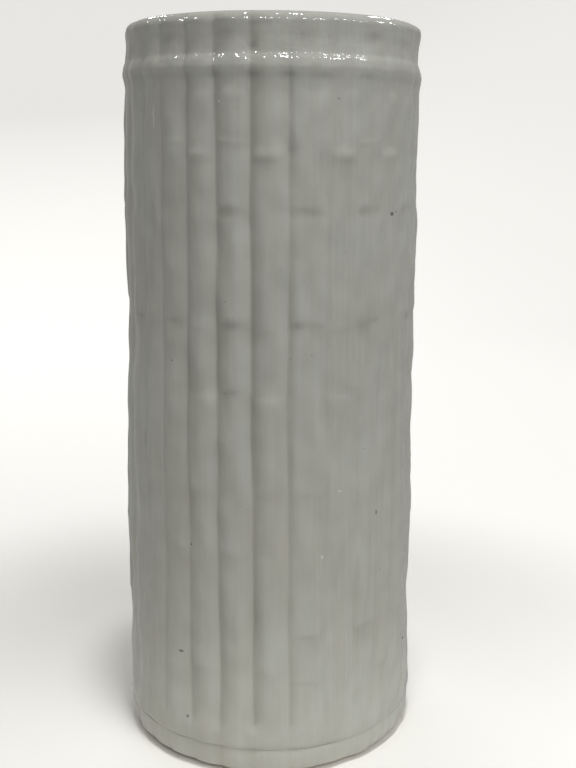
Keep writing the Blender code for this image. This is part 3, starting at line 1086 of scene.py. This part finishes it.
@dataclass
class FootRing:
    """The tucked-in foot: scalloped below each cane, glazed to near its edge, bare clay underneath."""

    finish: Material
    layout: CaneLayout = CaneLayout()
    groove: Groove = Groove()
    crest: float = 0.0995
    joint: float = 0.0173
    tuck: float = 0.0043
    tuck_height: float = 0.0100
    ring_width: float = 0.0140
    rebate: float = 0.0915
    ledge: float = 0.0084
    scallop: float = 0.0012
    bare_below: tuple[float, float] = (0.0020, 0.0040)
    bare_waver: float = 0.0006
    # Painted light: the foot's glaze is a share lighter all round, as from the floor's bounce.
    tone: float = -0.19
    # Gathered glaze and painted shade darken the groove and the scallops.
    groove_tone: float = 0.55
    scallop_tone: float = 0.3
    notches: tuple[Swell, ...] = each(
        Swell,
        (-66, 0.006, -0.0014, 2.4, 0.010), (70, 0.008, -0.0016, 2.4, 0.010), (84, 0.010, 0.0012, 12, 0.020),
    )
    unevenness: Ripple = Ripple(8, 0.00022, (3, 20), (0.03, 0.10))

    def section(self) -> tuple[Array, Array, Array]:
        """The foot's section, down the outside, across the ring underneath and up the rebate.

        Returns:
            The radius and the height of each row, and how much of the relief it takes.
        """
        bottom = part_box("foot_ring")[0].z
        edge = self.crest - self.tuck
        near_joint = self.joint - np.array([0, 0.0003, 0.0007, 0.0012])
        upper = np.stack([np.full(len(near_joint), self.crest - 0.0001), near_joint], axis=-1)
        shoulder = np.linspace(self.joint - 0.0018, bottom + self.tuck_height, 4)
        sides = np.stack([np.full(len(shoulder), self.crest - 0.0002), shoulder], axis=-1)
        tuck = quarter_oval((edge, bottom + self.tuck_height), self.tuck - 0.0002, self.tuck_height, 0, 9)[1:]
        inner = edge - self.ring_width
        flat = np.linspace(edge - 0.001, inner + 0.001, 5)
        under = np.stack([flat, np.full(len(flat), bottom)], axis=-1)
        low, high = bottom + 0.0005, self.joint - 0.0004
        rises = [low, self.ledge - 0.0006, self.ledge, self.ledge, high, self.joint]
        inside = np.stack([np.repeat([inner, self.rebate], 3), rises], axis=-1)
        points = np.concatenate([upper, sides, tuck, under, inside])
        share = eased(points[:, 0], 0.0905, 0.0945) * (np.arange(len(points)) < len(points) - len(inside))
        return points[:, 0], points[:, 1], share

    def build(self) -> Piece:
        """The foot: each row's radius, less a shallow scallop at each valley, plus the notches.

        Returns:
            The finished piece.
        """
        radius, height, share = self.section()
        degrees, across, left, right = self.layout.columns_at(height)
        tall = height[:, None]
        away = (degrees + 180) % 360 - 180
        hollow = sum(self.layout.hollows(across, np.maximum(left, 0.5), np.maximum(right, 0.5)))
        deeper = 0.6 + 0.4 * (1 - eased(tall, 0.004, 0.012))
        out = self.unevenness.over(away, tall) - self.scallop * hollow * deeper
        out = out + sum(notch.over(away, tall) for notch in self.notches)
        groove = self.groove.share(away, tall)
        out = (out - self.groove.depth * groove) * share[:, None]
        points = around(radius[:, None] + out, degrees, tall)
        bare = 1 - eased(tall + self.bare_waver * np.sin(np.radians(away) * 9), *self.bare_below)
        underneath = radius[:, None] < self.rebate + 0.0001
        # Gathered glaze and painted shade in the groove and the scallops.
        pool_and_shade = (self.groove_tone * groove + self.scallop_tone * hollow**2) * share[:, None]
        layers = {
            "bare": np.maximum(bare, underneath),
            "pool_and_shade": np.clip(pool_and_shade, 0, 1),
            "grain": np.full(degrees.shape, 0.2),
            # Painted bounce light all round the foot.
            "stain_and_painted_light": np.full(degrees.shape, self.tone),
        }
        return dressed(tube("glazed_foot_ring", points, layers), self.finish, "foot_ring")


@dataclass
class VaseFloor:
    """The slab that closes the bottom, glazed on top and bare below, and the coil round its corner."""

    finish: Material
    columns: int = 180
    hub: float = 0.004
    clear_radius: float = 0.0809
    step: float = 0.0010
    round_edge: float = 0.0004
    coil_size: float = 0.0080
    coil_edge: float = 0.0008
    presses: int = 34
    press_reach: float = 0.0011
    press_drop: float = 0.0007
    press_wander: float = 0.6
    hollows: Ripple = Ripple(3, 0.00012, (1, 7), (0.05, 0.2), 12)

    def slab(self) -> Piece:
        """The slab: a turned section from the middle of its top to the middle of its underside.

        The top dips and rises a little, as a cosine sum that fades out towards its edge.

        Returns:
            The finished piece.
        """
        low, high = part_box("floor_slab")
        radius, top, bottom = high.x, high.z, low.z
        rim_top = top - self.step
        inside = np.linspace(self.hub, self.clear_radius - self.round_edge, 24)
        outline = [(r, top) for r in inside]
        outline += [(self.clear_radius, top - self.round_edge), (self.clear_radius, rim_top)]
        outline += [(radius - self.round_edge, rim_top), (radius, rim_top - self.round_edge)]
        outline += [(radius, bottom + self.round_edge), (radius - self.round_edge, bottom)]
        outline += [(r, bottom) for r in np.linspace(radius - 0.002, self.hub, 10)]
        section = np.array(outline)
        degrees = whole_turn(self.columns)
        reach, height = section[:, :1], section[:, 1:]
        is_top = np.arange(len(section))[:, None] < len(inside)
        fade = (1 - eased(reach, 0.055, 0.079)) * eased(reach, 0.0, 0.02)
        dips = -np.abs(self.hollows.over(degrees, reach)) * fade * is_top
        grid = around(reach, degrees, height + dips)
        bare = np.broadcast_to(~is_top, grid.shape[:2]).astype(float).ravel()
        # Darker towards the corner with the wall: gathered glaze and painted shade.
        pool_and_shade = np.broadcast_to(0.7 * eased(reach, 0.060, 0.081) * is_top, grid.shape[:2]).ravel()
        layers = {"bare": np.append(bare, [0.0, 1.0]), "pool_and_shade": np.append(pool_and_shade, [0.0, 0.0])}
        piece = capped("glazed_floor_slab", grid, [[0, 0, top], [0, 0, bottom]], layers)
        return dressed(piece, self.finish, "floor_slab")

    def coil(self) -> Piece:
        """The coil of clay: a hollow-faced section whose reach swells between finger presses.

        The reach over the floor varies as the absolute value of a sine for each press.

        Returns:
            The finished piece.
        """
        low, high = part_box("seam_coil")
        outer, bottom, top = high.x, low.z, high.z
        inner = outer - self.coil_size
        reach = self.coil_size - self.coil_edge
        hollow = quarter_oval((inner, top), reach, reach, 0, 10)
        back = np.array([[outer, top], [outer, (top + bottom) / 2], [outer, bottom]])
        under = np.array([[(outer + inner) / 2, bottom], [inner + 0.0002, bottom]])
        section = np.concatenate([back, under, hollow[::-1]])
        degrees = whole_turn(2 * self.columns)
        turn = np.radians(degrees)
        press = np.abs(np.sin(turn * self.presses / 2 + self.press_wander * np.sin(turn * 3)))
        depth = np.sin(np.linspace(0, math.pi, len(hollow)))[:, None]
        shape = np.concatenate([np.zeros((len(back) + len(under), 1)), depth])
        reaches = section[:, :1] + self.press_reach * shape * (0.3 - press)
        heights = section[:, 1:] - self.press_drop * shape * (press - 0.5)
        points = around(reaches, degrees, heights)
        # Darker on the coil's hollow face: gathered glaze and painted shade.
        pool_and_shade = np.broadcast_to(shape * 0.8, points.shape[:2])
        piece = tube("pressed_seam_coil", points, {"pool_and_shade": pool_and_shade})
        return dressed(piece, self.finish, "seam_coil")


@dataclass
class FeltPad:
    """One round felt pad under the foot, pressed a little out of shape by the weight."""

    node: str
    finish: Material
    columns: int = 72
    soft_edge: float = 0.0004
    wavers: tuple[float, float] = (0.012, 0.006)

    def build(self) -> Piece:
        """The pad: a turned section with rounded edges, whose radius wavers with the cut.

        Returns:
            The finished piece.
        """
        low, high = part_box(self.node)
        centre = (low + high) / 2
        radius = (high.x - low.x) / 2
        edge = self.soft_edge
        upper = quarter_oval((radius - edge, high.z - edge), edge, edge, 90, 4)
        lower = quarter_oval((radius - edge, low.z + edge), edge, edge, 0, 4)
        flat = np.linspace(0.001, radius - 2 * edge, 5)
        above = np.stack([flat, np.full(5, high.z)], axis=-1)
        below = np.stack([flat[::-1], np.full(5, low.z)], axis=-1)
        section = np.concatenate([above, upper, lower, below])
        degrees = whole_turn(self.columns)
        turn = np.radians(degrees)
        wide, narrow = self.wavers
        waver = 1 - wide * (1 + np.sin(turn * 5 + centre.x * 60)) - narrow * (1 + np.sin(turn * 11))
        grid = around(section[:, :1] * waver, degrees, section[:, 1:]) + [centre.x, centre.y, 0]
        ends = [[centre.x, centre.y, high.z], [centre.x, centre.y, low.z]]
        return dressed(capped(self.node + "_soft", grid, ends, {}), self.finish, self.node)


# --- Studio ---


def hung(name: str, lamp: bpy.types.Light, place: Vector, aim: Vector) -> Piece:
    """Puts a light in the scene, turned to a point."""
    made = bpy.data.objects.new(name, lamp)
    made.location = place
    made.rotation_euler = (made.location - aim).to_track_quat("Z", "Y").to_euler()
    bpy.context.scene.collection.objects.link(made)
    return made


@dataclass(frozen=True)
class Panel:
    """A square light that faces the vase: its angle round it, its height, its distance, side and power.

    A soft one lights the vase without showing in its glaze, and a lamp that isn't only shows in it.
    """

    name: str
    degrees: float
    height: float
    reach: float
    side: float
    watts: float
    soft: bool = False

    def build(self, aim: Vector) -> None:
        """Puts the light in the scene, turned to a point."""
        lamp = bpy.data.lights.new(self.name, "AREA")
        lamp.size = self.side
        lamp.energy = self.watts
        place = Vector(around(np.array(self.reach), np.array(self.degrees), np.array(self.height)))
        made = hung(self.name, lamp, place, aim)
        made.visible_glossy = not self.soft
        made.visible_diffuse = self.soft


@dataclass
class Studio:
    """A pale paper bowl round the vase, soft light from above, and small ceiling lamps for sparkle."""

    paper: Material
    near_radius: float = 0.34
    floor_radius: float = 1.7
    sides: int = 96
    turn_up: float = 0.9
    wall_height: float = 2.8
    ambient: Colour = (1.0, 0.99, 0.97)
    ambient_strength: float = 0.38
    panels: tuple[Panel, ...] = (
        Panel("key_light", 36, 1.5, 1.8, 1.6, 18, soft=True),
        Panel("back_light", 200, 1.5, 1.8, 1.6, 12, soft=True),
    )
    lamps: tuple[float, ...] = (-62, -13, 14, 43, 64, 110, 160, 205, 250)
    lamp_height: float = 1.85
    lamp_reach: float = 2.2
    lamp_side: float = 0.16
    lamp_watts: float = 4.5
    lamp_aim: tuple[float, float, float] = (0, 0, 0.25)
    pool_place: tuple[float, float, float] = (0.08, -0.32, 2.5)
    pool_aim: tuple[float, float, float] = (0.05, -0.12, 0)
    pool_watts: float = 118.0
    pool_angle: float = 20.0
    pool_size: float = 0.12

    def floor_pool(self) -> None:
        """A soft-edged lamp straight above that brightens the floor close round the vase."""
        lamp = bpy.data.lights.new("floor_pool", "SPOT")
        lamp.energy = self.pool_watts
        lamp.spot_size = math.radians(self.pool_angle)
        lamp.spot_blend = 1.0
        lamp.shadow_soft_size = self.pool_size
        hung("floor_pool", lamp, Vector(self.pool_place), Vector(self.pool_aim))

    def sheet(self, name: str, reach: Array, height: Array, centre: bool) -> Piece:
        """A turned sheet of paper.

        Args:
            name: Its name.
            reach: Distance of each ring of vertices from the axis.
            height: Height of each ring.
            centre: Whether it goes in to the axis.

        Returns:
            The sheet.
        """
        points = around(reach[:, None], whole_turn(self.sides), height[:, None]).reshape(-1, 3)
        faces = tube_faces(len(reach), self.sides, closed=False)
        if centre:
            faces += fan(len(points), np.arange(self.sides))
            points = np.concatenate([points, [[0, 0, height[0]]]])
        made = mesh_object(name, points, faces, {})
        made.data.materials.append(self.paper)
        return made

    def backdrop(self) -> None:
        """A round floor, and a sweep from it that turns up into a wall along a quarter circle.

        Only the floor close round the vase throws light back on it. The sweep is for the camera.
        """
        near = np.linspace(0.03, self.near_radius, 8)
        floor = self.sheet("studio_floor", near, np.zeros(len(near)), centre=True)
        floor.visible_glossy = False
        flat = np.linspace(self.near_radius, self.floor_radius, 12)
        angle = np.radians(np.linspace(0, 90, 16)[1:])
        bend_r = self.floor_radius + self.turn_up * np.sin(angle)
        bend_z = self.turn_up * (1 - np.cos(angle))
        reach = np.concatenate([flat, bend_r, [bend_r[-1]]])
        height = np.concatenate([np.zeros(len(flat)), bend_z, [self.wall_height]])
        sweep = self.sheet("studio_sweep", reach, height, centre=False)
        sweep.visible_diffuse = False
        sweep.visible_glossy = False
        sweep.visible_shadow = False

    def build(self) -> None:
        """Sets up the backdrop, the lights and the room's dim light."""
        self.backdrop()
        aim = Vector(self.lamp_aim)
        for panel in self.panels:
            panel.build(aim)
        for number, degrees in enumerate(self.lamps):
            sizes = (self.lamp_height, self.lamp_reach, self.lamp_side, self.lamp_watts)
            Panel(f"ceiling_lamp_{number + 1}", degrees, *sizes).build(aim)
        self.floor_pool()
        world = bpy.data.worlds.new("studio_room")
        world.use_nodes = True
        background = world.node_tree.nodes["Background"]
        background.inputs["Color"].default_value = (*self.ambient, 1)
        background.inputs["Strength"].default_value = self.ambient_strength
        bpy.context.scene.world = world
        bpy.context.scene.view_settings.view_transform = "Standard"


@dataclass
class ViewCamera:
    """The camera in front of the vase, a little above its middle and looking slightly down."""

    place: tuple[float, float, float] = (0.0118, -0.7386, 0.3988)
    down: float = 7.94
    roll: float = 0.39
    lens: float = 50.1
    shift_up: float = -0.109

    def build(self) -> None:
        """Adds the camera and makes it the scene's own."""
        data = bpy.data.cameras.new("view_camera")
        data.sensor_fit = "AUTO"
        data.sensor_width = 36
        data.lens = self.lens
        data.shift_y = self.shift_up
        data.clip_start = 0.01
        camera = bpy.data.objects.new("view_camera", data)
        pitch, turn = math.radians(self.down), math.radians(self.roll)
        right, up = Vector((1, 0, 0)), Vector((0, math.sin(pitch), math.cos(pitch)))
        ahead = Vector((0, math.cos(pitch), -math.sin(pitch)))
        rolled_right = right * math.cos(turn) + up * math.sin(turn)
        rolled_up = up * math.cos(turn) - right * math.sin(turn)
        axes = Matrix((rolled_right, rolled_up, -ahead)).transposed()
        camera.matrix_world = Matrix.Translation(self.place) @ axes.to_4x4()
        bpy.context.scene.collection.objects.link(camera)
        bpy.context.scene.camera = camera


# --- Putting it together ---


def report(piece: Piece) -> None:
    """Logs a piece's name and how many triangles it has."""
    piece.data.calc_loop_triangles()
    LOG.info("%s: %d triangles", piece.name, len(piece.data.loop_triangles))


def main() -> None:
    """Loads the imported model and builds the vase, its finishes, the studio and the camera."""
    logging.basicConfig(level=logging.INFO, format="%(name)s: %(message)s")
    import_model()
    ViewCamera().build()
    Studio(StudioPaper().build()).build()
    glaze, felt = WhiteGlaze().build(), Felt().build()
    report(CaneWall(glaze).build())
    report(FootRing(glaze).build())
    vase_floor = VaseFloor(glaze)
    report(vase_floor.slab())
    report(vase_floor.coil())
    for number in range(1, 5):
        report(FeltPad(f"felt_pad_{number}", felt).build())


if __name__ == "__main__":
    main()
